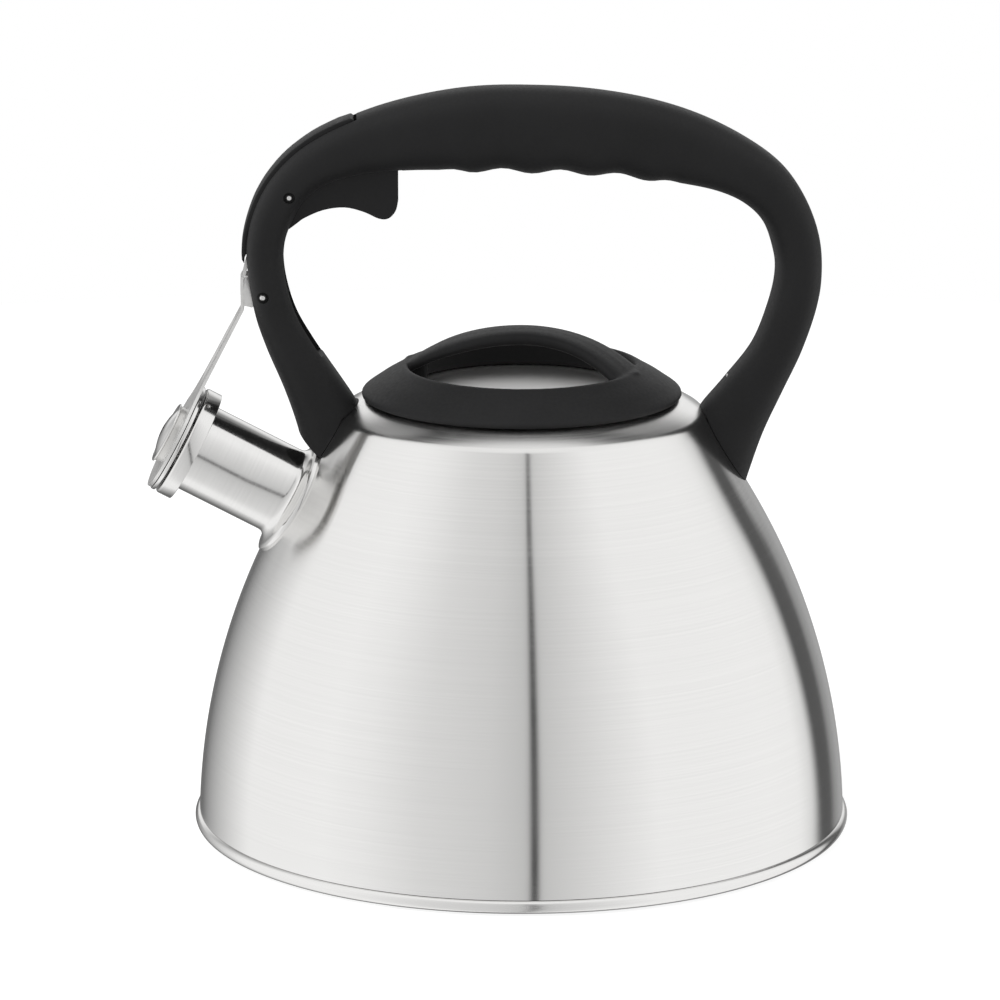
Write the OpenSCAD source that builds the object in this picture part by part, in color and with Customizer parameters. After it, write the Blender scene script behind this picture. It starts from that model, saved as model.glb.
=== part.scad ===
// Stovetop whistling kettle: a drawn steel body on a thick heat-spreading base, a loop handle
// with a finger trigger, and a spout closed by a spring-loaded whistle flap.
// Frame: origin at the centre of the face that rests on the stove, +Z up, spout towards -X,
// the handle loop in the XZ plane and every pin along Y. Millimetres throughout.

/* [Body] */
// Radius of the long curve of the flank, seen from the side
flank_r = 224.7; // [222:0.1:228]
// How far the centre of that curve lies beyond the kettle's axis
flank_beyond = 115.7; // [113:0.1:119]
// Height of that curve's centre
flank_low = -2; // [-4:0.1:0]
// Height at which the curved flank turns into a straight cone
cone_z = 112; // [106:1:118]
// Height of the corner where the flank meets the sloping deck
shoulder_z = 141.2; // [139:0.1:143]
// Radius that rounds the shoulder
shoulder_r = 5; // [3:0.5:7]
// Slope of the deck between the shoulder and the mouth, in degrees
deck_slope = 30; // [26:1:32]
// Height of the flat land round the mouth
mouth_z = 147.2; // [146.8:0.1:147.4]
// Radius of the filling mouth
mouth_r = 43.5; // [43.2:0.1:44.5]
// How deep the mouth's turned-down lip reaches
lip_h = 5.2; // [4:0.1:8]
// Thickness of the body sheet
wall = 0.8; // [0.6:0.1:1]

/* [Base] */
// Height of the seam where the body stands on the bottom pan
seam_z = 5; // [4.6:0.1:5.4]
// Radius of the rolled bead round the foot
bead_r = 2.3; // [2:0.1:2.3]
// Radius at which the bead's own centre runs
bead_run = 108.1; // [107.8:0.1:108.4]
// Outer radius of the cap that encloses the heat core
cap_r = 100; // [94:1:103]
// Thickness of the cap's skin
cap_wall = 1; // [0.8:0.1:1.5]

/* [Spout] */
// Centre of the spout's mouth, along X
spout_x = -113.3; // [-114:0.1:-112]
// Centre of the spout's mouth, along Z
spout_z = 132; // [131:0.1:133]
// How far the spout leans over from upright, in degrees
spout_lean = 62; // [61:0.5:63]
// Outer radius of the spout tube
tube_r = 15; // [14.5:0.1:15.5]
// Outer radius of the flange that is welded to the flank
flange_r = 20.9; // [20.5:0.1:22]
// Outer radius of the collar round the mouth
collar_r = 19.2; // [19:0.1:20]
// Length of the collar's band
collar_h = 5.3; // [4:0.1:6]

/* [Flap and whistle] */
// Outer radius of the flap disc
flap_r = 19; // [18:0.1:19.5]
// Gap between the closed flap and the spout's collar
flap_gap = 0.5; // [0.4:0.1:1]
// Width of the arm's strip at its upper end
arm_w = 9.2; // [8:0.1:10]
// Thickness of the arm's sheet
arm_t = 1; // [0.8:0.1:1.2]
// Radius of the whistle drum
drum_r = 10.5; // [10:0.1:11]

/* [Handle] */
// Width of the handle at the middle of the grip
grip_w = 28; // [25:0.5:30]
// Width of the handle at its legs
leg_w = 23; // [22:0.5:25]
// Width of the slot that takes the trigger and the flap arm
slot_w = 12.4; // [12:0.1:13]
// Width of the trigger lever
lever_w = 11.2; // [10:0.1:11.4]
// Radius of the two hinge pins
pin_r = 1.2; // [1:0.05:1.3]
// Running clearance between a pin and the piece that swings on it
pin_play = 0.06; // [0.03:0.01:0.1]

/* [Lid] */
// Outer radius of the lid's ring
ring_r = 53.5; // [52:0.1:54]
// Radius of the opening inside the ring
ring_in = 37.8; // [37:0.1:39]
// Height of the ring's inner edge
ring_top = 157; // [156:0.1:158]
// Height of the top of the bridge over the opening
bridge_top = 169.2; // [168:0.1:171]
// Thickness of the bridge
bridge_t = 4.5; // [4:0.1:5]
// How far the bridge is turned from the spout's line, in degrees
bridge_turn = -21; // [-30:1:0]

/* [Hidden] */
$fn = 64;

// Finishes
steel = "silver";
plastic = "#1c1c1e";

// Body section. Every outline below is the outer skin moved inwards by inset.
cone_a = asin((cone_z - flank_low) / flank_r);
cone_start = [flank_r * cos(cone_a) - flank_beyond, cone_z];
corner_run = (shoulder_z - cone_z) / cos(cone_a);
corner = cone_start + corner_run * [-sin(cone_a), cos(cone_a)];
deck_a = 90 - deck_slope;
turn_half = (deck_a - cone_a) / 2;
turn_mid = (deck_a + cone_a) / 2;
shoulder_c = corner - shoulder_r / cos(turn_half) * [cos(turn_mid), sin(turn_mid)];
arc_steps = 14;
turn_steps = 4;

// Spout and flap, measured along the spout's axis from the plane of its mouth
tube_wall = 0.8;
bore_r = tube_r - tube_wall;
collar_t = 1;
flare = [[tube_r, -25], [tube_r + 0.4, -30], [tube_r + 1, -33], [tube_r + 2.5, -36.6], [19.6, -38.8]];
flare_end = -52;
flange_t = 1.3;
flange_room_h = 24;
disc_t = 1;
disc_face = flap_gap + disc_t;
pad_face = disc_face + 0.7;
arm_face = pad_face + arm_t;
eyelet_r = 3.5;
eyelet_in = 2.7;

// Pins, as places in the XZ plane
trigger_at = [-76.8, 215.3];
arm_at = [-85.7, 182];
pin_length = leg_w - 1;
ear_t = 0.8;

// Handle stations from the near foot over the grip to the far foot. Each is the outer edge's
// place in the XZ plane, the inner edge's place, and the width as a share from leg to grip.
handle_line = [[-71.5, 121.5, -55.2, 145, 0.2], [-74.4, 135.5, -56.3, 147, 0.1], [-78.8, 149, -60, 152.6, 0],
    [-84.3, 162.3, -68.5, 165.3, 0], [-88, 173.5, -74.4, 176, 0], [-90.3, 187, -77.7, 188, 0],
    [-90.9, 199, -77.9, 198.5, 0], [-88.2, 211, -75.4, 206.2, 0], [-82.4, 222.2, -71.2, 213.4, 0.1],
    [-71.8, 232.2, -64.2, 218.3, 0.2], [-56, 240.4, -53, 221.5, 0.45], [-38, 246.2, -37.5, 222.8, 0.75],
    [-17, 249.8, -17.5, 222.7, 1], [4, 250.2, 3, 222.2, 1], [24, 248.8, 21.5, 221.4, 1],
    [43.5, 245.2, 38, 219.9, 0.85], [60, 239.7, 52, 217.9, 0.6], [75, 231.9, 64.3, 215.2, 0.35],
    [86.2, 223.3, 73.4, 211, 0.2], [93.8, 212.4, 79.8, 204.6, 0.1], [98.4, 200, 83.2, 195.4, 0],
    [99.5, 187.8, 84.1, 187.6, 0], [98, 176, 82.2, 177.6, 0], [93.2, 161.2, 76.8, 163.4, 0],
    [86.8, 147.2, 67.8, 151.6, 0], [80.4, 133, 61.6, 144.4, 0.1], [75, 117, 59.6, 141.8, 0.2]];
line_steps = 2;
section_sides = 16;
// 1 makes the section an ellipse, and smaller values make it fuller
section_power = 0.8;

// The slot through the handle: room for the trigger's web, the groove for its back strip, and the
// fork in the near leg for the arm's bracket
slot_line = [[-39.5, 200], [-39.5, 231], [-46, 231], [-67, 228.5], [-54.4, 237.6], [-54.4, 246],
    [-100, 246], [-100, 172], [-86, 172], [-76.5, 161], [-60, 161], [-60, 200]];
// The lever in one outline: the strip along the handle's back, the web, and the finger trigger
lever_line = [[-55.2, 240.5], [-60.4, 239.3], [-68.8, 235.1], [-77.3, 228.8], [-83.4, 222], [-87.6, 215.2],
    [-90.3, 208.4], [-92, 201.9], [-92.6, 197], [-92.5, 193.5], [-91.9, 192.4], [-91.6, 198.6],
    [-90.7, 203.4], [-84, 206.8], [-79.5, 204.6], [-77, 203.8], [-74.2, 205.9], [-71.6, 207.7],
    [-65.5, 210.2], [-58.6, 211], [-52.4, 209.5], [-47.4, 207.2], [-44.2, 207.2], [-41.8, 209.7],
    [-40.9, 213.4], [-40.9, 225.2], [-50, 225.6], [-60, 224.4], [-68, 222.6], [-70.5, 229],
    [-64.2, 234.4], [-58.5, 237.4], [-55, 238.9]];

// The arm: a strip that bends up into a bracket with two ears, and on into a tongue
strip_top = 50;
pad_r = 18.6;
// Half of the strip's width where it leaves the plate over the disc, as places along and across
strip_edge = [[10, 15], [18.5, 9], [24, 7.3]];
rib_from = 16;
rib_len = 30;
rib_w = 3;
rib_h = 0.5;
bend_line = [[-92.2, 178], [-92.2, 187], [-91.5, 188.1], [-90.1, 193.8], [-90.8, 193.6], [-92.4, 188.2],
    [-93, 187.2], [-93, 178.2]];
ear_line = [[-92.6, 178.2], [-92.6, 187.4], [-91, 188], [-86.4, 186], [-82.6, 184], [-82.6, 180],
    [-84.4, 178.3], [-89.6, 177.4]];

// Handle brackets: a plate on the flank and a tongue that stands up inside the leg
left_foot = [-61.5, 131];
left_foot_lean = -24;
right_foot = [66.5, 131];
right_foot_lean = 29;
plate_t = 1.4;
plate_w = 13;
plate_reach = 5.6;
tab_w = 12;
tab_t = 3;
tab_h = 27;
fit_gap = 0.2;
screw_z = 150;
screw_r = 1.5;
screw_head_r = 2.8;
screw_head_h = 1.8;

// Lid stack
lid_t = 0.8;
lid_gap = 0.3;
lid_z = mouth_z + lid_gap;
lid_top = lid_z + lid_t;
lid_r = 50;
plug_r = 41.8;
plug_z = 139.5;
seal_z = 141;
seal_h = 3.6;
bridge_r = (pow(ring_in, 2) + pow(bridge_top - ring_top, 2)) / (2 * (bridge_top - ring_top));
bridge_half = [[-46, 9], [-34, 13], [-14, 7.5], [14, 7.5], [34, 13], [46, 9]];
boss_at = 37;
boss_r = 3.6;

function arc(c, r, from, to, steps) =
    [for (i = [0:steps]) let (a = from + (to - from) * i / steps) c + r * [cos(a), sin(a)]];

function flank(inset, low) =
    let (r = flank_r - inset)
    arc([-flank_beyond, flank_low], r, asin((low - flank_low) / r), cone_a, arc_steps);

function shoulder(inset) = arc(shoulder_c, shoulder_r - inset, cone_a, deck_a, turn_steps);

// Where the sloping deck, moved in by inset, reaches the height z
function deck_end(inset, z) =
    let (start = shoulder_c + (shoulder_r - inset) * [cos(deck_a), sin(deck_a)])
    start + (z - start[1]) / sin(deck_slope) * [-cos(deck_slope), sin(deck_slope)];

function body_outline(inset, low) =
    concat(flank(inset, low), shoulder(inset), [deck_end(inset, mouth_z - inset)]);

function reversed(p) = [for (i = [len(p) - 1:-1:0]) p[i]];

// One point of a smooth curve that passes through b and c
function curve_at(a, b, c, d, t) =
    0.5 * (2 * b + (c - a) * t + (2 * a - 5 * b + 4 * c - d) * pow(t, 2)
    + (3 * b - a - 3 * c + d) * pow(t, 3));

function smooth(p) =
    concat([for (i = [0:len(p) - 2], j = [0:line_steps - 1])
        curve_at(p[max(i - 1, 0)], p[i], p[i + 1], p[min(i + 2, len(p) - 1)], j / line_steps)],
        [p[len(p) - 1]]);

function fuller(c) = sign(c) * pow(abs(c), section_power);

// One rounded section of the handle, as a ring of points round its station
function handle_section(p) =
    let (mid = [p[0] + p[2], p[1] + p[3]] / 2, arm = [p[0] - p[2], p[1] - p[3]] / 2,
        half = (leg_w + (grip_w - leg_w) * p[4]) / 2)
    [for (k = [0:section_sides - 1]) let (a = 360 * k / section_sides, u = fuller(cos(a)))
        [mid[0] + arm[0] * u, half * fuller(sin(a)), mid[1] + arm[1] * u]];

// A flat outline in the XZ plane, thickened evenly to both sides of Y = 0
module slab(points, width) {
    rotate([90, 0, 0]) linear_extrude(height = width, center = true) polygon(points);
}

// A round bar along Y, centred on a place in the XZ plane
module cross_bar(at, radius, length) {
    translate([at[0], 0, at[1]]) rotate([90, 0, 0]) cylinder(r = radius, h = length, center = true);
}

// The kettle body as a solid block, with its skin moved outwards by grow
module body_block(grow) {
    rotate_extrude($fn = 128)
        polygon(concat([[0, seam_z]], body_outline(-grow, seam_z), [[0, mouth_z + grow]]));
}

// A place in the XZ plane: v up along the spout's mouth from its centre, w out along its axis
function on_arm(v, w) =
    [spout_x + v * cos(spout_lean) - w * sin(spout_lean),
    spout_z + v * sin(spout_lean) + w * cos(spout_lean)];

// Children are drawn with Z along the spout's axis and the mouth at Z = 0
module on_spout() {
    translate([spout_x, 0, spout_z]) rotate([0, -spout_lean, 0]) children();
}

module body_shell() {
    lip = [[mouth_r, mouth_z], [mouth_r, mouth_z - lip_h], [mouth_r + wall, mouth_z - lip_h],
        [mouth_r + wall, mouth_z - wall]];
    color(steel) difference() {
        rotate_extrude($fn = 128)
            polygon(concat(body_outline(0, seam_z), lip, reversed(body_outline(wall, seam_z))));
        on_spout() translate([0, 0, flare_end]) cylinder(r = tube_r, h = -flare_end);
    }
}

module bottom_pan() {
    color(steel) rotate_extrude($fn = 128) {
        translate([0, seam_z - wall]) square([bead_run, wall]);
        translate([bead_run, seam_z - bead_r]) circle(r = bead_r);
    }
}

module heat_core() {
    color("gainsboro") translate([0, 0, cap_wall])
        cylinder(r = cap_r - cap_wall, h = seam_z - wall - cap_wall, $fn = 128);
}

module base_cap() {
    rim_z = seam_z - wall;
    color(steel) rotate_extrude($fn = 128)
        polygon([[0, 0], [cap_r, 0], [cap_r, rim_z], [cap_r - cap_wall, rim_z],
            [cap_r - cap_wall, cap_wall], [0, cap_wall]]);
}

module spout_tube() {
    skin = concat([[tube_r, -collar_t]], flare, [[flare[4][0], flare_end]]);
    bore = [for (p = skin) [p[0] - tube_wall, p[1]]];
    color(steel) difference() {
        union() {
            on_spout() rotate_extrude() polygon(concat(skin, reversed(bore)));
            intersection() {
                body_block(flange_t);
                on_spout() translate([0, 0, flare_end]) difference() {
                    cylinder(r = flange_r, h = 22);
                    translate([0, 0, -1]) cylinder(r = tube_r + 2, h = 24);
                }
            }
        }
        body_block(0);
    }
}

// Room for the spout's flange under the foot of the near leg
module flange_room() {
    on_spout() translate([0, 0, flare_end]) cylinder(r = flange_r + fit_gap, h = flange_room_h);
}

module spout_collar() {
    color(steel) on_spout() rotate_extrude()
        polygon([[bore_r, -collar_t], [bore_r, 0], [collar_r, 0], [collar_r, -collar_h],
            [collar_r - collar_t, -collar_h], [collar_r - collar_t, -collar_t]]);
}

// The plate on the flank and the tongue inside one leg, grown by gap for the pocket around it
module foot_bracket(foot, lean, gap) {
    difference() {
        union() {
            intersection() {
                body_block(plate_t + gap);
                translate([foot[0], 0, foot[1]])
                    cube([2 * (plate_reach + gap), plate_w + 2 * gap, 40], center = true);
            }
            translate([foot[0], 0, foot[1]]) rotate([0, lean, 0])
                translate([-tab_t / 2 - gap, -tab_w / 2 - gap, 0])
                cube([tab_t + 2 * gap, tab_w + 2 * gap, tab_h + gap]);
        }
        body_block(0);
    }
}

// Where the tongue's middle stands at the screw's height
function tab_x(foot, lean) = foot[0] + (screw_z - foot[1]) * tan(lean);

// One leg screw, driven from the inner side of the loop: side is -1 at the spout, 1 opposite
module leg_screw(foot, lean, side, grow) {
    tip = tab_x(foot, lean) + side * 3;
    translate([tip, 0, screw_z]) rotate([0, -side * 90, 0]) {
        cylinder(r = screw_r + grow, h = 10);
        translate([0, 0, 10]) cylinder(r = screw_head_r + grow, h = screw_head_h + 20 * grow);
    }
}

module handle_bracket_left() {
    color(steel) difference() {
        foot_bracket(left_foot, left_foot_lean, 0);
        leg_screw(left_foot, left_foot_lean, -1, 0);
        flange_room();
    }
}

module handle_bracket_right() {
    color(steel) difference() {
        foot_bracket(right_foot, right_foot_lean, 0);
        leg_screw(right_foot, right_foot_lean, 1, 0);
    }
}

// The bare loop: rounded sections joined one to the next
module handle_bar() {
    rings = [for (p = smooth(handle_line)) handle_section(p)];
    last = len(rings) - 1;
    polyhedron(points = [for (ring = rings) each ring],
        faces = concat([[for (k = [0:section_sides - 1]) k]],
            [for (i = [0:last - 1], k = [0:section_sides - 1]) let (next = (k + 1) % section_sides)
                [i * section_sides + k, (i + 1) * section_sides + k,
                (i + 1) * section_sides + next, i * section_sides + next]],
            [[for (k = [section_sides - 1:-1:0]) last * section_sides + k]]));
}

module handle_loop() {
    color(plastic) difference() {
        handle_bar();
        body_block(0.1);
        flange_room();
        slab(slot_line, slot_w);
        cross_bar(trigger_at, pin_r, 60);
        cross_bar(arm_at, pin_r, 60);
        foot_bracket(left_foot, left_foot_lean, fit_gap);
        foot_bracket(right_foot, right_foot_lean, fit_gap);
        leg_screw(left_foot, left_foot_lean, -1, fit_gap);
        leg_screw(right_foot, right_foot_lean, 1, fit_gap);
    }
}

module handle_screws() {
    color(steel) {
        leg_screw(left_foot, left_foot_lean, -1, 0);
        leg_screw(right_foot, right_foot_lean, 1, 0);
    }
}

module trigger_pin() {
    color(steel) cross_bar(trigger_at, pin_r, pin_length);
}

module arm_pin() {
    color(steel) cross_bar(arm_at, pin_r, pin_length);
}

// A close-wound torsion spring between the arm's ears, with one leg along the tongue
module return_spring() {
    wire = 0.35;
    coil = 2.1;
    turns = 9;
    pitch = 2 * wire - 0.05;
    reach = (turns - 1) / 2 * pitch;
    color(steel) translate([arm_at[0], 0, arm_at[1]]) {
        rotate([90, 0, 0]) rotate_extrude() for (i = [0:turns - 1])
            translate([coil, (i - (turns - 1) / 2) * pitch]) circle(r = wire, $fn = 24);
        translate([-coil, reach, 0]) rotate([0, -12, 0]) cylinder(r = wire, h = 9, $fn = 24);
        translate([coil, -reach, 0]) rotate([0, 174, 0]) cylinder(r = wire, h = 4, $fn = 24);
    }
}

module trigger_lever() {
    color(plastic) difference() {
        slab(lever_line, lever_w);
        cross_bar(trigger_at, pin_r + pin_play, 60);
    }
}

module flap_arm() {
    // The bend starts inside the flat strip, a little thinner than it
    inside = 0.1;
    overlap_v = strip_top - 2;
    bend = concat([on_arm(overlap_v, pad_face + inside), on_arm(strip_top, pad_face + inside)], bend_line,
        [on_arm(strip_top, arm_face - inside), on_arm(overlap_v, arm_face - inside)]);
    color(steel) difference() {
        union() {
            on_spout() translate([0, 0, pad_face]) {
                linear_extrude(height = arm_t) {
                    circle(r = pad_r);
                    polygon(concat(strip_edge, [[strip_top, arm_w / 2], [strip_top, -arm_w / 2]],
                        [for (p = reversed(strip_edge)) [p[0], -p[1]]]));
                }
                translate([rib_from, -rib_w / 2, arm_t / 2]) cube([rib_len, rib_w, arm_t / 2 + rib_h]);
            }
            slab(bend, arm_w - inside);
            for (side = [-1, 1])
                translate([0, side * (arm_w - 2 * ear_t) / 2, 0]) slab(ear_line, ear_t);
        }
        cross_bar(arm_at, pin_r + pin_play, 60);
        on_spout() cylinder(r = eyelet_r, h = 8);
    }
}

module flap_disc() {
    color(steel) on_spout() rotate_extrude()
        polygon([[eyelet_r, flap_gap], [flap_r, flap_gap], [flap_r, disc_face + 0.5],
            [flap_r - 0.8, disc_face + 0.5], [flap_r - 1.4, disc_face], [12.6, disc_face],
            [11.4, pad_face], [eyelet_r, pad_face]]);
}

// The outer cup of the whistle: a drum with a rolled lip and a low dome with a steam hole
module whistle_dome() {
    neck = drum_r - 0.6;
    lip_z = arm_face + 2;
    dome_h = 2.6;
    dome_in = drum_r - 1.2;
    dome_round = (pow(dome_in, 2) + pow(dome_h, 2)) / (2 * dome_h);
    edge_a = asin(dome_in / dome_round);
    skin = arc([0, lip_z + 0.7 + dome_h - dome_round], dome_round, 90 - edge_a, 82, 6);
    inner = [for (p = reversed(skin)) [p[0], p[1] - 0.6]];
    color(steel) on_spout() rotate_extrude()
        polygon(concat([[neck - 0.6, arm_face], [neck, arm_face], [neck, lip_z - 0.3], [drum_r, lip_z],
            [drum_r, lip_z + 0.5]], skin, inner, [[neck - 0.6, lip_z]]));
}

// The inner cup of the whistle, which reaches into the spout's bore
module whistle_plate() {
    cup_r = 10;
    cup_h = 2.6;
    hole_r = 1.6;
    color(steel) on_spout() rotate_extrude()
        polygon([[hole_r, flap_gap - cup_h], [cup_r, flap_gap - cup_h], [cup_r, flap_gap],
            [cup_r - 0.6, flap_gap], [cup_r - 0.6, flap_gap - cup_h + 0.6],
            [hole_r, flap_gap - cup_h + 0.6]]);
}

// The hollow rivet that holds disc, arm and whistle together and lets the steam through
module flap_rivet() {
    color(steel) on_spout() rotate_extrude()
        polygon([[eyelet_in, flap_gap - 0.6], [eyelet_r + 1.5, flap_gap - 0.6], [eyelet_r + 1.5, flap_gap],
            [eyelet_r, flap_gap], [eyelet_r, arm_face], [eyelet_r + 1.5, arm_face],
            [eyelet_r + 1.5, arm_face + 0.6], [eyelet_in, arm_face + 0.6]]);
}

module lid_bosses(radius, low, high) {
    rotate([0, 0, bridge_turn]) for (side = [-1, 1])
        translate([side * boss_at, 0, low]) cylinder(r = radius, h = high - low);
}

module lid_grip() {
    ring_low = mouth_z - 0.8;
    underside = [[ring_in, lid_top], [lid_r + lid_gap, lid_top], [lid_r + lid_gap, mouth_z + lid_gap]];
    crown = [[ring_r - 1.2, ring_low], [ring_r - 0.6, ring_low], [ring_r, ring_low + 0.8],
        [ring_r - 0.5, ring_low + 1.6], [ring_r - 3.5, ring_top - 6.6], [ring_r - 7, ring_top - 4.2],
        [ring_in + 4.9, ring_top - 2.2], [ring_in + 2.4, ring_top - 0.6], [ring_in + 1.2, ring_top],
        [ring_in + 0.4, ring_top - 0.2], [ring_in, ring_top - 1]];
    color(plastic) difference() {
        union() {
            rotate_extrude($fn = 128) polygon(concat(underside, crown));
            intersection() {
                translate([0, 0, bridge_top - bridge_r]) difference() {
                    sphere(r = bridge_r, $fn = 128);
                    sphere(r = bridge_r - bridge_t, $fn = 128);
                }
                rotate([0, 0, bridge_turn]) translate([0, 0, lid_top + 3]) linear_extrude(height = 30)
                    polygon(concat(bridge_half, [for (p = reversed(bridge_half)) [p[0], -p[1]]]));
                translate([0, 0, lid_top]) cylinder(r = ring_in + 5, h = 30);
            }
            lid_bosses(boss_r, lid_top, ring_top);
        }
        lid_bosses(screw_r, lid_z, ring_top - 3);
    }
}

module lid_plate() {
    color(steel) difference() {
        rotate_extrude($fn = 128)
            polygon([[0, lid_z], [plug_r - lid_t, lid_z], [plug_r - lid_t, plug_z], [plug_r, plug_z],
                [plug_r, lid_z], [lid_r, lid_z], [lid_r, lid_top], [0, lid_top]]);
        lid_bosses(screw_r, plug_z, lid_top + 1);
    }
}

module lid_seal() {
    color("dimgray") rotate_extrude($fn = 128)
        polygon([[plug_r, seal_z], [plug_r + 0.6, seal_z], [plug_r + 1.1, seal_z + 1.2],
            [plug_r + 1.1, seal_z + 2.4], [plug_r + 0.6, seal_z + seal_h], [plug_r, seal_z + seal_h]]);
}

module lid_screws() {
    color(steel) {
        lid_bosses(screw_r, lid_z, ring_top - 3);
        lid_bosses(screw_head_r, lid_z - screw_head_h, lid_z);
    }
}

body_shell();
bottom_pan();
heat_core();
base_cap();
spout_tube();
spout_collar();
handle_bracket_left();
handle_bracket_right();
handle_loop();
handle_screws();
trigger_pin();
arm_pin();
return_spring();
trigger_lever();
flap_arm();
flap_disc();
whistle_dome();
whistle_plate();
flap_rivet();
lid_grip();
lid_plate();
lid_seal();
lid_screws();
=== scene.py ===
"""Looks of a stovetop whistling kettle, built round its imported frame.

Everything is in metres in the kettle's own frame: +Z up, the spout towards -X, the handle loop
in the XZ plane and the hinge pins along Y. Outlines are written in millimetres, as on a drawing.
"""

import math

import bmesh
import bpy
from bpy.props import FloatProperty, FloatVectorProperty, PointerProperty
from mathutils import Matrix, Vector


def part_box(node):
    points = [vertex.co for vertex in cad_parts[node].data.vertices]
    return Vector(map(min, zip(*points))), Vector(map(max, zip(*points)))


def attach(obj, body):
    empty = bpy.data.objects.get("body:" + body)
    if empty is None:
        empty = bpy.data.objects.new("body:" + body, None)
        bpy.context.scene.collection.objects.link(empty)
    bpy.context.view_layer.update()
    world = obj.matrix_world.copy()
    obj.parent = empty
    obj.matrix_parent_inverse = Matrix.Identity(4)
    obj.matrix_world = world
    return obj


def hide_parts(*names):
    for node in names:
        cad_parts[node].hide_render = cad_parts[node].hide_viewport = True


bl_info = {
    "name": "Whistling Kettle",
    "version": (1, 0, 0),
    "blender": (4, 5, 0),
    "location": "3D View > Sidebar > Kettle",
    "description": "Builds the visible pieces of a stovetop whistling kettle on its packed frame",
    "category": "Object",
}

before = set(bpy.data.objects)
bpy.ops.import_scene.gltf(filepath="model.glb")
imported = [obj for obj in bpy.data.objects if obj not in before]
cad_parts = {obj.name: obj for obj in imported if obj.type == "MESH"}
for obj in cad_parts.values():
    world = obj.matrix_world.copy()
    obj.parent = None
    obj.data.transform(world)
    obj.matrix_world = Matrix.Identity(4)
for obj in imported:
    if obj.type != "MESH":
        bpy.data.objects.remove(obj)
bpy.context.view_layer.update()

MM = 0.001

# The spout's axis: it leans from upright towards -X, and starts at the centre of its mouth
SPOUT_LEAN = math.radians(62)
SPOUT_MOUTH = Vector((-113.3, 0, 132)) * MM
SPOUT_AXIS = Vector((-math.sin(SPOUT_LEAN), 0, math.cos(SPOUT_LEAN)))
SPOUT_UP = Vector((math.cos(SPOUT_LEAN), 0, math.sin(SPOUT_LEAN)))
SPOUT_PLACE = Matrix.Translation(SPOUT_MOUTH) @ Matrix.Rotation(-SPOUT_LEAN, 4, "Y")

SPOUT_TUBE = 15.0 * MM
SPOUT_BORE = 14.2 * MM

# Handle stations from the spout side's foot over the grip to the far foot:
# outer edge x, z, inner edge x, z, half the width
HANDLE_STATIONS = [
    (-71.5, 121.5, -55.2, 145.0, 12.2),
    (-74.4, 135.5, -56.3, 147.0, 11.9),
    (-78.8, 149.0, -60.0, 152.6, 11.6),
    (-84.3, 162.3, -68.5, 165.3, 11.5),
    (-88.5, 173.5, -74.4, 176.0, 11.5),
    (-90.9, 187.0, -77.7, 188.0, 11.5),
    (-91.5, 199.0, -77.9, 198.5, 11.5),
    (-88.7, 211.0, -75.4, 206.2, 11.5),
    (-82.4, 222.2, -71.2, 213.4, 11.7),
    (-71.8, 232.2, -64.2, 218.3, 12.0),
    (-56.0, 240.4, -53.0, 221.5, 12.6),
    (-38.0, 246.2, -37.5, 222.8, 13.4),
    (-17.0, 249.8, -17.5, 222.7, 14.0),
    (4.0, 250.2, 3.0, 222.2, 14.0),
    (24.0, 248.8, 21.5, 221.4, 14.0),
    (43.5, 245.2, 38.0, 219.9, 13.6),
    (60.0, 239.7, 52.0, 217.9, 13.0),
    (75.0, 231.9, 64.3, 215.2, 12.4),
    (86.2, 223.3, 73.4, 211.0, 12.0),
    (93.8, 212.4, 79.8, 204.6, 11.7),
    (98.4, 200.0, 83.2, 195.4, 11.5),
    (99.5, 187.8, 84.1, 187.6, 11.5),
    (98.0, 176.0, 82.2, 177.6, 11.5),
    (93.2, 161.2, 76.8, 163.4, 11.5),
    (86.8, 147.2, 67.8, 151.6, 11.6),
    (80.4, 133.0, 61.6, 144.4, 11.9),
    (75.0, 117.0, 59.6, 141.8, 12.2),
]

# The slot in the handle, in the XZ plane: room for the trigger's web, the groove for its back
# strip, and the fork in the near leg for the arm's bracket
SLOT_OUTLINE = [
    (-39.5, 200), (-39.5, 231), (-46, 231), (-67, 228.5), (-54.4, 237.6), (-54.4, 256), (-110, 256),
    (-110, 160.5), (-83.6, 160.5), (-87.4, 172), (-86, 172), (-76.5, 161), (-50, 161), (-50, 200),
]

# The trigger lever in the XZ plane: back strip, web under it, finger trigger, and the strip's
# underside over the grip
STRIP_BACK = [
    (-60.4, 239.3), (-68.8, 235.1), (-77.3, 228.8), (-83.4, 222.0), (-87.6, 215.2),
    (-90.3, 208.4), (-92.0, 201.9), (-92.6, 197.0), (-92.5, 193.8),
]
STRIP_FRONT = [
    (-91.7, 192.4), (-91.6, 194.5), (-90.9, 196.0), (-90.3, 200.0), (-90.0, 203.4), (-84, 206.8),
    (-79.5, 204.6),
]
TRIGGER_UNDERSIDE = [
    (-77, 203.8), (-74.2, 205.9), (-71.6, 207.7), (-65.5, 210.2), (-58.6, 211.0), (-52.4, 209.5),
    (-47.4, 207.2), (-44.2, 207.2), (-41.8, 209.7), (-40.9, 213.4),
]
TRIGGER_TOP = [
    (-40.9, 225.2), (-50, 225.6), (-60, 224.4), (-68, 222.6), (-70.5, 229.0), (-64.2, 234.4),
    (-58.5, 237.4), (-55.6, 238.7), (-55.2, 239.3), (-55.4, 240.1), (-56.2, 240.7),
]

TRIGGER_PIN = (-76.8, 215.3)
ARM_PIN = (-85.7, 182.0)

# Half the width of the handle's slot and of the lever in it, and the play under the feet
SLOT_HALF = 6.2 * MM
LEVER_HALF = 5.6 * MM
FOOT_PLAY = 0.12 * MM

# Edges that turn by less than this stay smooth
SHARP_ANGLE = math.radians(38)


# Outlines

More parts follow.
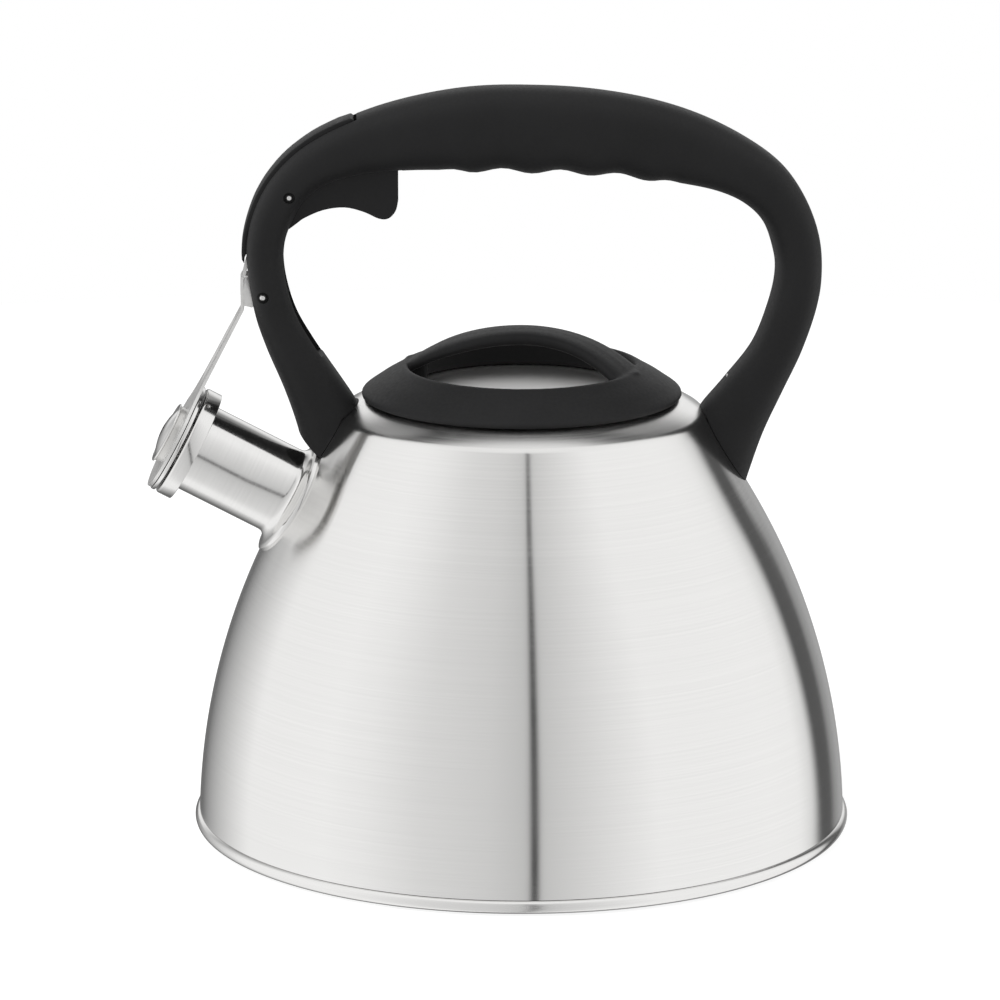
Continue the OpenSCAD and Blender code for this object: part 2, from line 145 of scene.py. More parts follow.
def arc(centre, radius, start, end, steps):
    """Points on an arc between two angles in degrees."""
    points = []
    for i in range(steps + 1):
        a = math.radians(start + (end - start) * i / steps)
        points.append((centre[0] + radius * math.cos(a), centre[1] + radius * math.sin(a)))
    return points


def smooth_curve(points, steps):
    """A smooth curve through the points, which may have any number of coordinates."""
    out = []
    last = len(points) - 1
    for i in range(last):
        a, b, c, d = points[max(i - 1, 0)], points[i], points[i + 1], points[min(i + 2, last)]
        for k in range(steps):
            t = k / steps
            out.append(tuple(
                0.5 * (2 * q + (r - p) * t + (2 * p - 5 * q + 4 * r - s) * t * t
                       + (3 * q - p - 3 * r + s) * t ** 3)
                for p, q, r, s in zip(a, b, c, d)
            ))
    out.append(tuple(points[-1]))
    return out


def round_corners(corners, closed=True, steps=5):
    """An outline whose corners (x, y, radius) are rounded; a radius of 0 keeps a corner sharp."""
    out = []
    count = len(corners)
    for i, (x, y, radius) in enumerate(corners):
        here = Vector((x, y))
        end = not closed and i in (0, count - 1)
        if radius <= 0 or end:
            out.append((x, y))
            continue
        before = Vector(corners[i - 1][:2]) - here
        after = Vector(corners[(i + 1) % count][:2]) - here
        half = before.angle(after) / 2
        if half > math.radians(89):
            out.append((x, y))
            continue
        reach = min(radius / math.tan(half), before.length * 0.49, after.length * 0.49)
        radius = reach * math.tan(half)
        centre = here + (before.normalized() + after.normalized()).normalized() * radius / math.sin(half)
        first = here + before.normalized() * reach - centre
        last = here + after.normalized() * reach - centre
        turn = first.angle_signed(last)
        for k in range(steps + 1):
            p = centre + Matrix.Rotation(-turn * k / steps, 2) @ first
            out.append((p.x, p.y))
    return out


def in_metres(points):
    """The points, given in millimetres, in metres."""
    return [tuple(c * MM for c in p) for p in points]


def body_outline(sizes, inset=0.0):
    """The body's skin from its foot to the flat land round the mouth, as (radius, height)."""
    curve = sizes.flank_curve
    low = sizes.flank_low
    cone_angle = math.asin((sizes.cone_height - low) / curve)
    deck_angle = math.pi / 2 - sizes.deck_slope
    start = Vector((curve * math.cos(cone_angle) - sizes.flank_beyond, sizes.cone_height))
    run = (sizes.shoulder_height - sizes.cone_height) / math.cos(cone_angle)
    corner = start + run * Vector((-math.sin(cone_angle), math.cos(cone_angle)))
    half_turn = (deck_angle - cone_angle) / 2
    middle = (deck_angle + cone_angle) / 2
    outward = Vector((math.cos(middle), math.sin(middle)))
    centre = corner - sizes.shoulder_round / math.cos(half_turn) * outward
    foot = math.asin((sizes.seam_height - low) / (curve - inset))
    skin = arc((-sizes.flank_beyond, low), curve - inset, math.degrees(foot), math.degrees(cone_angle), 40)
    skin += arc(centre, sizes.shoulder_round - inset, math.degrees(cone_angle), math.degrees(deck_angle), 8)
    deck = Vector(skin[-1])
    rise = sizes.mouth_height - inset - deck.y
    skin.append((deck.x - rise / math.tan(sizes.deck_slope), sizes.mouth_height - inset))
    return skin


def body_radius(skin, z):
    """The body's outer radius at a height, from its outline."""
    for (r0, z0), (r1, z1) in zip(skin, skin[1:]):
        if z0 <= z <= z1:
            return r0 + (r1 - r0) * (z - z0) / (z1 - z0)
    return skin[0][0] if z < skin[0][1] else 0.0


# Meshes

def add_strip(bm, low, high, closed):
    """Faces between two rows of vertices; a row of one vertex is a pole."""
    count = max(len(low), len(high))
    for i in range(count if closed else count - 1):
        j = (i + 1) % count
        corners = [low[i % len(low)], low[j % len(low)], high[j % len(high)], high[i % len(high)]]
        corners = list(dict.fromkeys(corners))
        if len(corners) > 2:
            bm.faces.new(corners)


def piece_from(name, bm, material=None):
    """A finished object from a bmesh: outward faces, smooth shading, sharp where it turns hard."""
    bmesh.ops.remove_doubles(bm, verts=bm.verts, dist=1e-7)
    bmesh.ops.recalc_face_normals(bm, faces=bm.faces)
    mesh = bpy.data.meshes.new(name)
    bm.to_mesh(mesh)
    bm.free()
    piece = bpy.data.objects.new(name, mesh)
    bpy.context.scene.collection.objects.link(piece)
    if material is not None:
        mesh.materials.append(material)
    shade(piece)
    return piece


def shade(piece, sharp=SHARP_ANGLE):
    """Smooth shading, with the edges kept sharp that turn by more than the angle."""
    mesh = piece.data
    mesh.polygons.foreach_set("use_smooth", [True] * len(mesh.polygons))
    mesh.set_sharp_from_angle(angle=sharp)
    mesh.update()


def lathe(bm, outline, closed=True, turns=160, place=None):
    """Turns an outline of (radius, height) about the Z axis, then puts it in its place."""
    place = place or Matrix.Identity(4)
    rows = []
    for r, z in outline:
        if r < 1e-7:
            rows.append([bm.verts.new(place @ Vector((0, 0, z)))])
            continue
        row = []
        for i in range(turns):
            a = 2 * math.pi * i / turns
            row.append(bm.verts.new(place @ Vector((r * math.cos(a), r * math.sin(a), z))))
        rows.append(row)
    pairs = list(zip(rows, rows[1:]))
    if closed:
        pairs.append((rows[-1], rows[0]))
    for low, high in pairs:
        add_strip(bm, low, high, True)


def swept_piece(name, rings, material=None):
    """A bar through closed rings of points, with a flat face at each end."""
    bm = bmesh.new()
    rows = [[bm.verts.new(p) for p in ring] for ring in rings]
    for before, after in zip(rows, rows[1:]):
        add_strip(bm, before, after, True)
    for end in (rows[0], rows[-1]):
        bm.faces.new(end)
    return piece_from(name, bm, material)


def turned_piece(name, outline, material=None, closed=True, turns=160, place=None):
    """A piece turned from an outline of (radius, height)."""
    bm = bmesh.new()
    lathe(bm, outline, closed, turns, place)
    return piece_from(name, bm, material)


def pin_place(at):
    """Z along a hinge pin, with the pin's middle at the origin."""
    return Matrix.Translation((at[0] * MM, 0, at[1] * MM)) @ Matrix.Rotation(math.pi / 2, 4, "X")


def slab_piece(name, outline, half_width, material=None, bevel=0.0, segments=3):
    """An outline in the XZ plane thickened along Y, with its hard edges rounded."""
    bm = bmesh.new()
    sides = [[bm.verts.new((x, y, z)) for x, z in outline] for y in (-half_width, half_width)]
    add_strip(bm, sides[0], sides[1], True)
    for side in sides:
        bm.faces.new(side)
    piece = piece_from(name, bm, material)
    if bevel > 0:
        edge = piece.modifiers.new("rounded edges", "BEVEL")
        edge.width = bevel
        edge.segments = segments
        edge.limit_method = "ANGLE"
        edge.angle_limit = math.radians(40)
        edge.harden_normals = True
        apply_modifiers(piece)
    return piece


def apply_modifiers(piece):
    """Turns the piece's modifiers into its mesh."""
    shapes = bpy.context.evaluated_depsgraph_get()
    mesh = bpy.data.meshes.new_from_object(piece.evaluated_get(shapes))
    piece.modifiers.clear()
    piece.data = mesh
    if not mesh.polygons:
        raise RuntimeError(f"{piece.name} lost its faces")


def carve(piece, cutter, how="DIFFERENCE"):
    """Cuts the cutter out of the piece, or joins it on, and removes the cutter."""
    step = piece.modifiers.new("carve", "BOOLEAN")
    step.operation = how
    step.solver = "EXACT"
    step.object = cutter
    apply_modifiers(piece)
    bpy.data.objects.remove(cutter)


def settle(piece, body, slot, *nodes):
    """The piece rides on its body and stands for its CAD nodes; its slot is not used."""
    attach(piece, body)
    if nodes:
        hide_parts(*nodes)
    return piece


# Finishes

class NodeTree:
    """Adds nodes and links to a tree."""

    def __init__(self, tree):
        self.tree = tree

    def node(self, kind, **values):
        """A new node with its settings, or its inputs' constants, named with _ for a space."""
        node = self.tree.nodes.new(kind)
        for key, value in values.items():
            if hasattr(node, key):
                setattr(node, key, value)
            else:
                node.inputs[key.replace("_", " ")].default_value = value
        return node

    def link(self, source, target):
        self.tree.links.new(source, target)

    def combined(self, operation, first, second):
        """Two values put together by a Math operation; each is a socket or a constant."""
        step = self.node("ShaderNodeMath", operation=operation)
        for socket, value in zip(step.inputs, (first, second)):
            if isinstance(value, (int, float)):
                socket.default_value = value
            else:
                self.link(value, socket)
        return step.outputs[0]

    def spread(self, source, low, high, start=0.3, end=0.7):
        """Maps start to end onto low to high; by default a texture's middle range."""
        spread = self.node("ShaderNodeMapRange", From_Min=start, From_Max=end, To_Min=low, To_Max=high)
        self.link(source, spread.inputs["Value"])
        return spread.outputs["Result"]


class Shader(NodeTree):
    """Builds one node-based material."""

    def __init__(self, name):
        self.material = bpy.data.materials.new(name)
        self.material.use_nodes = True
        super().__init__(self.material.node_tree)
        self.surface = self.tree.nodes["Principled BSDF"]

    def place(self, turn=0.0):
        """The piece's own coordinates, turned about Y so that the spout's axis can stand upright."""
        source = self.node("ShaderNodeTexCoord").outputs["Object"]
        if not turn:
            return source
        turned = self.node("ShaderNodeVectorRotate", rotation_type="Y_AXIS", Angle=turn)
        self.link(source, turned.inputs["Vector"])
        return turned.outputs["Vector"]

    def noise(self, source, stretch, detail=3.0, roughness=0.5):
        """A noise texture with that many lumps to the metre along each axis."""
        scaled = self.node("ShaderNodeMapping")
        scaled.inputs["Scale"].default_value = stretch
        self.link(source, scaled.inputs["Vector"])
        noise = self.node("ShaderNodeTexNoise", Scale=1.0, Detail=detail, Roughness=roughness)
        self.link(scaled.outputs["Vector"], noise.inputs["Vector"])
        return noise.outputs["Fac"]

    def tint(self, source, colour, dark, light):
        """Colours the surface from dark to light times the colour over a texture's middle range."""
        ramp = self.node("ShaderNodeValToRGB")
        for element, position, share in zip(ramp.color_ramp.elements, (0.3, 0.7), (dark, light)):
            element.position = position
            element.color = (*(min(1.0, c * share) for c in colour), 1)
        self.link(source, ramp.inputs["Fac"])
        self.link(ramp.outputs["Color"], self.surface.inputs["Base Color"])

    def relief(self, layers):
        """Stacks bumps; each layer is a height texture, its strength and its depth in metres."""
        normal = None
        for height, strength, depth in layers:
            bump = self.node("ShaderNodeBump", Strength=strength, Distance=depth)
            self.link(height, bump.inputs["Height"])
            if normal is not None:
                self.link(normal, bump.inputs["Normal"])
            normal = bump.outputs["Normal"]
        self.link(normal, self.surface.inputs["Normal"])

    def set(self, **values):
        """Sets constants on the surface's sockets, named with _ for a space."""
        for key, value in values.items():
            self.surface.inputs[key.replace("_", " ")].default_value = value


def turned_steel(name, colour, roughness, turn=0.0, line=2600.0, brushed=0.0):
    """Steel brushed or polished round an axis: fine lines round it, and clouds in the sheen."""
    depth = 2e-6
    s = Shader(name)
    place = s.place(turn)
    lines = s.noise(place, (9, 9, line), detail=4, roughness=0.65)
    hairs = s.noise(place, (30, 30, line * 2.7), detail=2)
    clouds = s.noise(place, (16, 16, 42), detail=2)
    s.tint(lines, colour, 0.97, 1.02)
    sheen = s.spread(lines, roughness * 0.82, roughness * 1.12)
    uneven = s.spread(clouds, -roughness * 0.06, roughness * 0.08)
    s.link(s.combined("ADD", sheen, uneven), s.surface.inputs["Roughness"])
    s.relief([(lines, 0.16, depth), (hairs, 0.16, depth * 0.5)])
    s.set(Metallic=1.0, Anisotropic=brushed)
    if brushed:
        around = s.node("ShaderNodeTangent", direction_type="RADIAL", axis="Z")
        s.link(around.outputs["Tangent"], s.surface.inputs["Tangent"])
        s.set(Anisotropic_Rotation=0.25)
    return s.material


def plain_steel(name, colour, roughness):
    """Rolled sheet and wire: faint lines along X and small blotches."""
    s = Shader(name)
    place = s.place()
    grain = s.noise(place, (120, 1800, 400), detail=3)
    blotches = s.noise(place, (90, 90, 90), detail=3)
    s.tint(blotches, colour, 0.97, 1.03)
    s.link(s.spread(grain, roughness * 0.8, roughness * 1.25), s.surface.inputs["Roughness"])
    s.relief([(grain, 0.12, 1.5e-6)])
    s.set(Metallic=1.0)
    return s.material


def soft_plastic(name, colour, roughness):
    """Black moulded plastic with a soft-touch coat: fine matte grain and a slightly uneven sheen."""
    s = Shader(name)
    place = s.place()
    grain = s.noise(place, (2600, 2600, 2600), detail=2)
    pores = s.noise(place, (900, 900, 900), detail=3, roughness=0.6)
    clouds = s.noise(place, (38, 38, 38), detail=3)
    s.tint(clouds, colour, 0.85, 1.2)
    s.link(s.spread(pores, roughness * 0.9, roughness * 1.1), s.surface.inputs["Roughness"])
    s.relief([(pores, 0.35, 3e-5), (grain, 0.35, 1.5e-5)])
    s.set(Specular_IOR_Level=0.2, Sheen_Weight=0.03, Sheen_Roughness=0.45)
    return s.material


def silicone(name, colour):
    """Dusty matte rubber."""
    s = Shader(name)
    dust = s.noise(s.place(), (700, 700, 700), detail=2)
    s.tint(dust, colour, 0.85, 1.15)
    s.link(s.spread(dust, 0.5, 0.65), s.surface.inputs["Roughness"])
    s.relief([(dust, 0.2, 2e-5)])
    return s.material


FINISHES = {
    "satin": lambda f: turned_steel("satin_steel", f.steel, f.satin, brushed=1.0),
    "rim": lambda f: turned_steel("rolled_rim_steel", f.steel, f.polish * 1.15, line=1500),
    "spout": lambda f: turned_steel("spout_steel", f.steel, f.polish, turn=SPOUT_LEAN, line=2200),
    "lid": lambda f: turned_steel("lid_steel", f.steel, 0.32),
    "sheet": lambda f: plain_steel("sheet_steel", f.steel, 0.38),
    "core": lambda f: plain_steel("core_aluminium", f.aluminium, 0.4),
    "plastic": lambda f: soft_plastic("soft_touch_plastic", f.plastic, 0.56),
    "silicone": lambda f: silicone("seal_silicone", f.silicone),
}
_made = {}


def finish(key):
    """The finish of that name, made once."""
    if key not in _made:
        _made[key] = FINISHES[key](bpy.context.scene.kettle_finishes)
    return _made[key]


# Settings

class KettleSizes(bpy.types.PropertyGroup):
    """Sizes a maker would change. They follow the frame's own drawing."""

    flank_curve: FloatProperty(
        name="Flank curve", description="Radius of the flank's long curve, seen from the side",
        default=0.2247, unit="LENGTH")
    flank_beyond: FloatProperty(
        name="Flank centre", description="How far that curve's centre lies beyond the axis",
        default=0.1157, unit="LENGTH")
    flank_low: FloatProperty(
        name="Flank height", description="Height of that curve's centre", default=-0.002, unit="LENGTH")
    cone_height: FloatProperty(
        name="Cone height", description="Height at which the flank turns straight",
        default=0.112, unit="LENGTH")
    shoulder_height: FloatProperty(
        name="Shoulder height", description="Height of the corner between flank and deck",
        default=0.1412, unit="LENGTH")
    shoulder_round: FloatProperty(
        name="Shoulder radius", description="Radius that rounds the shoulder", default=0.005, unit="LENGTH")
    deck_slope: FloatProperty(
        name="Deck slope", description="Slope of the deck between shoulder and mouth",
        default=math.radians(30), subtype="ANGLE")
    mouth_height: FloatProperty(
        name="Mouth height", description="Height of the flat land round the mouth",
        default=0.1472, unit="LENGTH")
    mouth_radius: FloatProperty(
        name="Mouth radius", description="Radius of the filling mouth", default=0.0435, unit="LENGTH")
    seam_height: FloatProperty(
        name="Seam height", description="Height at which the body stands on the bottom pan",
        default=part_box("body_shell")[0].z, unit="LENGTH")
    sheet: FloatProperty(
        name="Sheet", description="Thickness of the body sheet", default=0.0008, unit="LENGTH")
    wave_depth: FloatProperty(
        name="Finger wave", description="Depth of the finger waves under the grip",
        default=0.0008, unit="LENGTH")
    wave_length: FloatProperty(
        name="Wave spacing", description="Distance between the finger waves",
        default=0.019, unit="LENGTH")


class KettleFinishes(bpy.types.PropertyGroup):
    """Colours and sheens a maker would change."""

    steel: FloatVectorProperty(
        name="Steel", description="Colour of the steel", subtype="COLOR", default=(0.78, 0.775, 0.765))
    aluminium: FloatVectorProperty(
        name="Aluminium", description="Colour of the heat core", subtype="COLOR",
        default=(0.82, 0.82, 0.83))
    plastic: FloatVectorProperty(
        name="Plastic", description="Colour of the handle, trigger and lid grip", subtype="COLOR",
        default=(0.0075, 0.0075, 0.0078))
    silicone: FloatVectorProperty(
        name="Silicone", description="Colour of the lid's seal", subtype="COLOR", default=(0.2, 0.2, 0.2))
    satin: FloatProperty(
        name="Satin", description="Roughness of the brushed body", default=0.16, min=0.02, max=1)
    polish: FloatProperty(
        name="Polish", description="Roughness of the spout and the rim", default=0.13, min=0.02, max=1)


# Pieces

class KETTLE_OT_body(bpy.types.Operator):
    """Build the brushed body with its mouth lip and the hole behind the spout"""

    bl_idname = "kettle.body"
    bl_label = "Body"

    def execute(self, context):
        s = context.scene.kettle_sizes
        lip_low = s.mouth_height - 0.0052
        lip_out = s.mouth_radius + s.sheet
        outer = body_outline(s)
        inner = body_outline(s, s.sheet)
        lip = round_corners([
            (s.mouth_radius + 0.002, s.mouth_height, 0), (s.mouth_radius, s.mouth_height, 0.0008),
            (s.mouth_radius, lip_low, 0.0003), (lip_out, lip_low, 0.0003),
            (lip_out, s.mouth_height - s.sheet, 0),
        ], closed=False)
        body = turned_piece("kettle_body", outer + lip + inner[::-1], finish("satin"), turns=240)
        drill = [(0, -0.052), (SPOUT_TUBE, -0.052), (SPOUT_TUBE, 0), (0, 0)]
        hole = turned_piece("hole", drill, closed=False, turns=64, place=SPOUT_PLACE)
        carve(body, hole)
        shade(body)
        settle(body, "kettle", "satin_steel", "body_shell")
        return {"FINISHED"}


class KETTLE_OT_foot(bpy.types.Operator):
    """Build the bottom pan with its rolled bead, and the cap that rests on the stove"""

    bl_idname = "kettle.foot"
    bl_label = "Foot"

    def execute(self, context):
        s = context.scene.kettle_sizes
        low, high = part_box("bottom_pan")
        bead = (high.z - low.z) / 2
        run = high.x - bead
        pan_low = s.seam_height - s.sheet
        outline = [(0, pan_low), (run - 0.006, pan_low)]
        outline += arc((run, low.z + bead), bead, 155, 450, 26)
        outline += [(run - 0.004, s.seam_height), (0, s.seam_height)]
        pan = turned_piece("rolled_foot", outline, finish("rim"), closed=False, turns=240)
        settle(pan, "kettle", "polished_steel", "bottom_pan")

        cap_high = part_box("base_cap")[1]
        radius = cap_high.x
        cap = round_corners([
            (0, 0, 0), (radius - 0.03, 0, 0), (radius, 0, 0.0016), (radius, cap_high.z, 0.0002),
            (radius - 0.001, cap_high.z, 0), (radius - 0.001, 0.001, 0), (0, 0.001, 0),
        ], closed=False)
        base = turned_piece("base_cap_skin", cap, finish("satin"), closed=False, turns=240)
        settle(base, "kettle", "satin_steel", "base_cap")
        return {"FINISHED"}


class KETTLE_OT_spout(bpy.types.Operator):
    """Build the spout with its flared flange laid on the flank, and the collar round its mouth"""

    bl_idname = "kettle.spout"
    bl_label = "Spout"

    def execute(self, context):
        skin = body_outline(context.scene.kettle_sizes)
        tube, bore = SPOUT_TUBE, SPOUT_BORE
        flange, edge = 0.0209, 0.0013
        turns = 128

        def flank_below(radius, angle):
            """Where a line along the spout's axis, at that radius and angle, meets the flank."""
            near, far = -0.030, -0.060
            for _ in range(40):
                middle = (near + far) / 2
                p = SPOUT_PLACE @ Vector((radius * math.cos(angle), radius * math.sin(angle), middle))
                outside = math.hypot(p.x, p.y) > body_radius(skin, p.z)
                near, far = (middle, far) if outside else (near, middle)
            return near

        # Radius and place along the axis
        straight = [(bore + 0.0002, -0.0010), (tube - 0.0002, -0.0010), (tube, -0.0012), (tube, -0.0240)]
        # Radius and height above the flank, down to the flange, round its rim and up the bore
        laid = in_metres(smooth_curve(
            [(15.0, 4.4), (15.1, 3.5), (15.5, 2.7), (16.4, 2.0), (17.8, 1.6), (19.6, 1.5)], 4))
        laid += [
            (flange - 0.0006, edge), (flange - 0.00015, edge - 0.0002), (flange, edge * 0.5), (flange, 0.0),
            (0.0185, 0.0), (0.0155, 0.0), (0.0148, -0.0022), (bore, -0.0026),
        ]
        bm = bmesh.new()
        rows = []

        def row(height):
            ring = []
            for i in range(turns):
                a = 2 * math.pi * i / turns
                r, w = height(a)
                ring.append(bm.verts.new(SPOUT_PLACE @ Vector((r * math.cos(a), r * math.sin(a), w))))
            rows.append(ring)

        for r, w in straight:
            row(lambda a, r=r, w=w: (r, w))
        for r, lift in laid:
            row(lambda a, r=r, lift=lift: (r, flank_below(r, a) + lift))
        for w in (-0.030, -0.0012):
            row(lambda a, w=w: (bore, w))
        for low, high in zip(rows, rows[1:] + rows[:1]):
            add_strip(bm, low, high, True)
        spout = piece_from("spout_pipe", bm, finish("spout"))
        settle(spout, "kettle", "polished_steel", "spout_tube")

        collar_r = 0.0192
        ring = round_corners([
            (bore, -0.0010, 0), (bore, 0, 0.0006), (collar_r, 0, 0.0009), (collar_r, -0.0053, 0.0002),
            (collar_r - 0.0009, -0.0053, 0.0002), (collar_r - 0.0009, -0.0010, 0.0004),
        ])
        collar = turned_piece("spout_mouth_ring", ring, finish("spout"), turns=160, place=SPOUT_PLACE)
        settle(collar, "kettle", "polished_steel", "spout_collar")
        return {"FINISHED"}


class KETTLE_OT_flap(bpy.types.Operator):
    """Build the flap disc, the stamped arm with its bracket, and the whistle's dome"""

    bl_idname = "kettle.flap"
    bl_label = "Flap"

    def execute(self, context):
        disc = round_corners([
            (3.5, 0.5, 0), (18.4, 0.5, 0.2), (19.0, 0.8, 0.3), (19.0, 1.9, 0.35), (18.2, 2.0, 0.35),
            (17.6, 1.5, 0.5), (12.8, 1.5, 0.8), (11.4, 2.2, 0.8), (3.5, 2.2, 0),
        ])
        plate = turned_piece("flap_plate", in_metres(disc), finish("spout"), place=SPOUT_PLACE)
        settle(plate, "flap", "polished_steel", "flap_disc")

        dome_round = 21.6
        dome_centre = 7.4 - dome_round
        edge = math.degrees(math.acos(9.3 / dome_round))
        shell = [(9.3, 3.2), (9.9, 3.2), (9.9, 4.7), (10.1, 5.0), (10.45, 5.15), (10.55, 5.4),
                 (10.45, 5.7), (10.1, 5.85), (9.6, 5.75)]
        shell += arc((0, dome_centre), dome_round, edge + 1.5, 84, 12)
        shell += arc((0, dome_centre - 0.6), dome_round, 84, edge + 1.5, 12)
        shell += [(9.3, 4.9)]
        dome = turned_piece("whistle_cup", in_metres(shell), finish("spout"), turns=128, place=SPOUT_PLACE)
        settle(dome, "flap", "polished_steel", "whistle_dome")

        arm = self.arm_sheet()
        settle(arm, "flap", "polished_steel", "flap_arm")
        return {"FINISHED"}

    def arm_sheet(self):
        """The strip from under the whistle up to the bracket's back and tongue, with its ears."""
        sheet, middle = 1.0, 2.7
        plate = 18.6
        rib_half, rib_rise = 2.1, 0.55
        rows = []
        for i in range(19):
            angle = math.radians(180 - 122 * i / 18)
            rows.append((plate * math.cos(angle), middle, max(0.3, plate * math.sin(angle)), 0.0))
        # Place along the strip and half its width
        neck = smooth_curve([
            (11.4, 14.2), (14, 11.9), (17, 10.1), (20, 8.8), (24, 7.6), (30, 6.7), (38, 5.8), (46, 4.95),
            (49.4, 4.65),
        ], 3)
        rows += [(v, middle, half, max(0.0, min(1.0, (v - 17) / 6, (48 - v) / 5))) for v, half in neck]
        places = []
        for v, w, half, rib in rows:
            p = SPOUT_MOUTH + SPOUT_UP * (v * MM) + SPOUT_AXIS * (w * MM)
            places.append((p.x / MM, p.z / MM, half, max(0.0, rib)))
        places += smooth_curve([
            (-92.65, 177.4, 4.6, 0), (-92.6, 180.5, 4.6, 0), (-92.6, 186.2, 4.6, 0), (-92.35, 187.5, 4.4, 0),
            (-91.85, 188.4, 4.0, 0), (-91.3, 190.6, 3.6, 0), (-90.5, 193.7, 3.3, 0),
        ], 4)
        bm = bmesh.new()
        across = [0.1, 0.2, 0.3, 0.4, 0.55, 0.75, 0.92, 1]
        across = [-a for a in reversed(across)] + [0] + across
        sides = []
        for face in (-0.5, 0.5):
            ring_rows = []
            for i, (x, z, half, rib) in enumerate(places):
                x0, z0 = places[max(i - 1, 0)][:2]
                x1, z1 = places[min(i + 1, len(places) - 1)][:2]
                out = Vector((z0 - z1, 0, x1 - x0)).normalized()
                row = []
                for a in across:
                    off = min(1.0, abs(a * half) / rib_half)
                    bump = rib_rise * rib * max(0.0, math.cos(off * math.pi / 2)) ** 1.5
                    p = Vector((x, a * half, z)) + out * (face * sheet + bump)
                    row.append(bm.verts.new(p * MM))
                ring_rows.append(row)
            sides.append(ring_rows)
        for side in sides:
            for low, high in zip(side, side[1:]):
                add_strip(bm, low, high, False)
        borders = [
            side[0] + [r[-1] for r in side[1:-1]] + side[-1][::-1] + [r[0] for r in side[-2:0:-1]]
            for side in sides
        ]
        add_strip(bm, *borders, True)
        arm = piece_from("flap_strip", bm, finish("sheet"))
        ear = [(-92.4, 178.2), (-92.4, 187.4), (-91, 188.3), (-87.4, 187.6), (-83.6, 184.9),
               (-82.4, 182.0), (-83.4, 179.4), (-86, 178.0), (-89.6, 177.5)]
        for side in (-1, 1):
            wing = slab_piece("ear", in_metres(ear), 0.4 * MM, finish("sheet"), bevel=0.12 * MM)
            wing.data.transform(Matrix.Translation((0, side * 3.8 * MM, 0)))
            drill = in_metres([(0, -8), (1.26, -8), (1.26, 8), (0, 8)])
            bore = turned_piece("bore", drill, closed=False, turns=32, place=pin_place(ARM_PIN))
            carve(wing, bore)
            carve(arm, wing, "UNION")
        shade(arm)
        return arm


class KETTLE_OT_handle(bpy.types.Operator):
    """Build the loop handle: rounded section, finger waves, feet fitted to the body, and slot"""

    bl_idname = "kettle.handle"
    bl_label = "Handle"

    def execute(self, context):
        s = context.scene.kettle_sizes
        skin = body_outline(s)
        stations = smooth_curve(HANDLE_STATIONS, 8)
        around = 72
        squareness = 2 / 2.5
        bm = bmesh.new()

        def on_body(p):
            """The point moved level to the body's skin."""
            share = (body_radius(skin, p.z) + FOOT_PLAY) / math.hypot(p.x, p.y)
            return Vector((p.x * share, p.y * share, p.z))

        def clear_of_body(p):
            """Moves a point out to the body's skin if it lies under it."""
            if p.z > s.mouth_height:
                return p
            moved = on_body(p)
            return p if math.hypot(p.x, p.y) >= math.hypot(moved.x, moved.y) else moved

        def wave(x):
            """Height of the finger waves under the grip at a place along it."""
            fade = max(0.0, min(1.0, (x + 0.027) / 0.008, (0.052 - x) / 0.008))
            return -s.wave_depth * fade * math.cos(2 * math.pi * (x - 0.003) / s.wave_length)

        rings = []
        for ox, oz, ix, iz, half in stations:
            outer = Vector((ox, 0, oz)) * MM
            inner = Vector((ix, 0, iz)) * MM
            if iz > 215:
                inner.z += wave(inner.x)
            centre = (outer + inner) / 2
            arm = (outer - inner) / 2
            ring = []
            for k in range(around):
                a = 2 * math.pi * k / around
                c, d = math.cos(a), math.sin(a)
                u = math.copysign(abs(c) ** squareness, c)
                v = math.copysign(abs(d) ** squareness, d)
                ring.append(clear_of_body(centre + arm * u + Vector((0, half * MM * v, 0))))
            rings.append(ring)
        for end in (0, -1):
            rings[end] = [on_body(p) for p in rings[end]]
        rows = [[bm.verts.new(p) for p in ring] for ring in rings]
        for low, high in zip(rows, rows[1:]):
            add_strip(bm, low, high, True)
        for ring, row in ((rings[0], rows[0]), (rings[-1], rows[-1])):
            middle = sum(ring, Vector()) / len(ring)
            for share in (0.7, 0.4, 0.0):
                inward = [middle + (p - middle) * share for p in (ring if share else ring[:1])]
                inward = [bm.verts.new(clear_of_body(p)) for p in inward]
                add_strip(bm, row, inward, True)
                row = inward
        handle = piece_from("loop_handle", bm, finish("plastic"))
        flange_room = in_metres([(0, -56), (21.1, -56), (21.1, -28), (0, -28)])
        notch = turned_piece("notch", flange_room, closed=False, turns=96, place=SPOUT_PLACE)
        carve(handle, notch)
        slot = slab_piece("slot", in_metres(SLOT_OUTLINE), SLOT_HALF)
        carve(handle, slot)
        # A round recess at each end of a pin, from 9.9 mm beside the middle outwards
        floor, depth, radius = 9.9, 4.0, 1.95
        recess_line = in_metres([(0, 0), (radius, 0), (radius, depth), (0, depth)])
        for at in (TRIGGER_PIN, ARM_PIN):
            for start in (-floor - depth, floor):
                place = pin_place(at) @ Matrix.Translation((0, 0, start * MM))
                recess = turned_piece("recess", recess_line, closed=False, turns=40, place=place)
                carve(handle, recess)
        shade(handle, math.radians(50))
        settle(handle, "kettle", "black_plastic", "handle_loop")
        return {"FINISHED"}


class KETTLE_OT_trigger(bpy.types.Operator):
    """Build the trigger lever: finger trigger, web through the handle and strip along its back"""

    bl_idname = "kettle.trigger"
    bl_label = "Trigger"

    def execute(self, context):
        outline = smooth_curve(STRIP_BACK, 4) + STRIP_FRONT + smooth_curve(TRIGGER_UNDERSIDE, 4)
        outline += TRIGGER_TOP
        lever = slab_piece("finger_trigger", in_metres(outline), LEVER_HALF, finish("plastic"),
                           bevel=0.9 * MM, segments=4)
        shade(lever)
        settle(lever, "trigger", "black_plastic", "trigger_lever")
        return {"FINISHED"}


